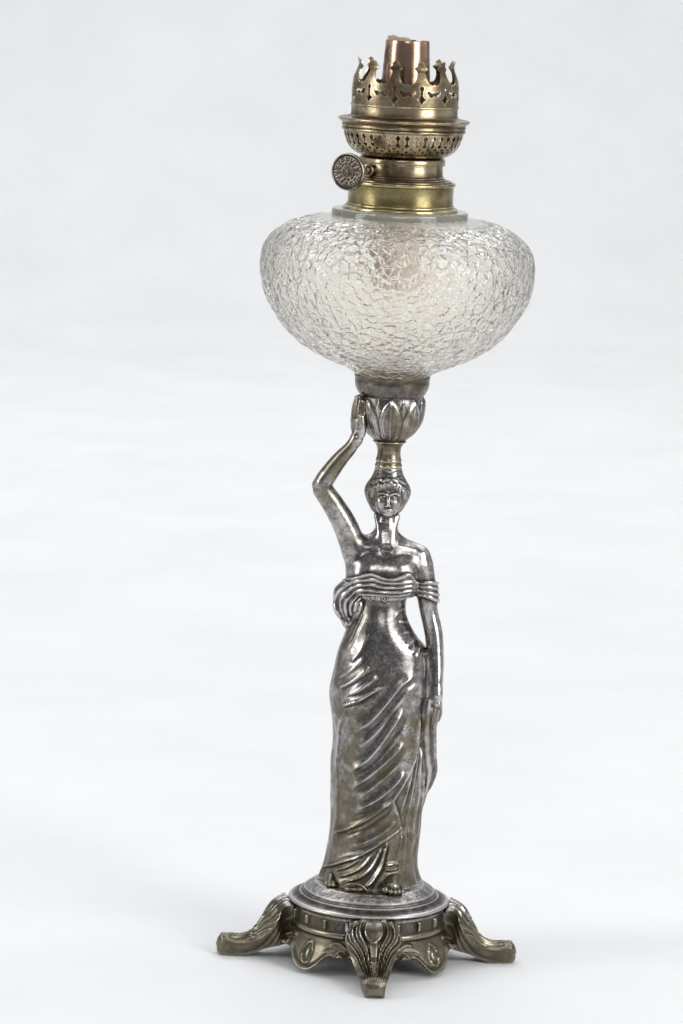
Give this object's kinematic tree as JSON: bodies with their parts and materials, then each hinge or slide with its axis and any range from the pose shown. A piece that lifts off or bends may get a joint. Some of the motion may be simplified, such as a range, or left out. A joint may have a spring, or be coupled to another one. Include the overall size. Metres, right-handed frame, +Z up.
{
  "type": "figural oil table lamp",
  "caption": "Oil table lamp: footed base, draped female figure, crackle glass font on a leaf cup, round-wick burner with lift-off gallery, basket and wick winder.",
  "frame": {"origin": "centre of the four feet, on the table surface", "axes": "+Z up the lamp's axis, -Y towards the figure's front, +X towards the figure's lowered arm"},
  "size_m": [0.165, 0.165, 0.5082],
  "materials": {
    "silvered_spelter": "worn silver plate over grey spelter, bright on the high parts",
    "brassy_spelter": "rubbed brass tone with grey tarnish",
    "dark_bowl": "smooth dark satin",
    "steel": "plain turned",
    "plaster": "tan plaster",
    "crackle_glass": "clear with closed-cell crackle relief",
    "gold_brass": "smooth satin",
    "aged_brass": "aged, brown in the recesses",
    "copper_tube": "polished copper brown",
    "dark_bronze": "dark pressed relief",
    "cotton_wick": "frayed cotton"
  },
  "bodies": {
    "lamp": {"base_foot": "silvered_spelter", "plinth": "silvered_spelter", "base_washer": "steel", "base_nut": "steel", "tie_rod": "steel", "figure_dress": "silvered_spelter", "figure_torso": "silvered_spelter", "figure_head": "silvered_spelter", "raised_arm": "silvered_spelter", "lowered_arm": "silvered_spelter", "drapery_swag": "silvered_spelter", "hanging_drapery": "silvered_spelter", "spool_stem": "brassy_spelter", "leaf_cup": "silvered_spelter", "font_cup": "dark_bowl", "cup_nut": "steel", "cup_plaster": "plaster", "glass_font": "crackle_glass", "collar_plaster": "plaster", "collar": "gold_brass"},
    "burner": {"burner_base": "aged_brass", "wick_guide_plate": "aged_brass", "shoulder_ring": "aged_brass", "outer_wick_tube": "copper_tube", "inner_air_tube": "copper_tube", "spindle_hanger": "aged_brass", "winder_sleeve": "aged_brass"},
    "gallery": {"basket": "aged_brass", "gallery_flange": "aged_brass", "crown": "aged_brass"},
    "winder": {"winder_spindle": "steel", "wick_sprockets": "aged_brass", "winder_knob": "dark_bronze"},
    "wick": {"wick": "cotton_wick"}
  },
  "joints": [
    {"name": "burner_lift", "type": "slide", "parent": "lamp", "child": "burner", "axis": [0, 0, 1], "range_m": [0, 0.11]},
    {"name": "gallery_lift", "type": "slide", "parent": "burner", "child": "gallery", "axis": [0, 0, 1], "range_m": [0, 0.07]},
    {"name": "wick_winder", "type": "hinge", "parent": "burner", "child": "winder", "pos_m": [-0.00678, 0.00424, 0.4366], "axis": [0.5299, 0.848, 0], "range_deg": [-170, 68]},
    {"name": "wick_rise", "type": "slide", "parent": "burner", "child": "wick", "axis": [0, 0, 1], "range_m": [-0.01, 0.004]}
  ],
  "couplings": [
    {"joint": "wick_rise", "follows": "wick_winder", "m_per_rad": 0.00335}
  ]
}
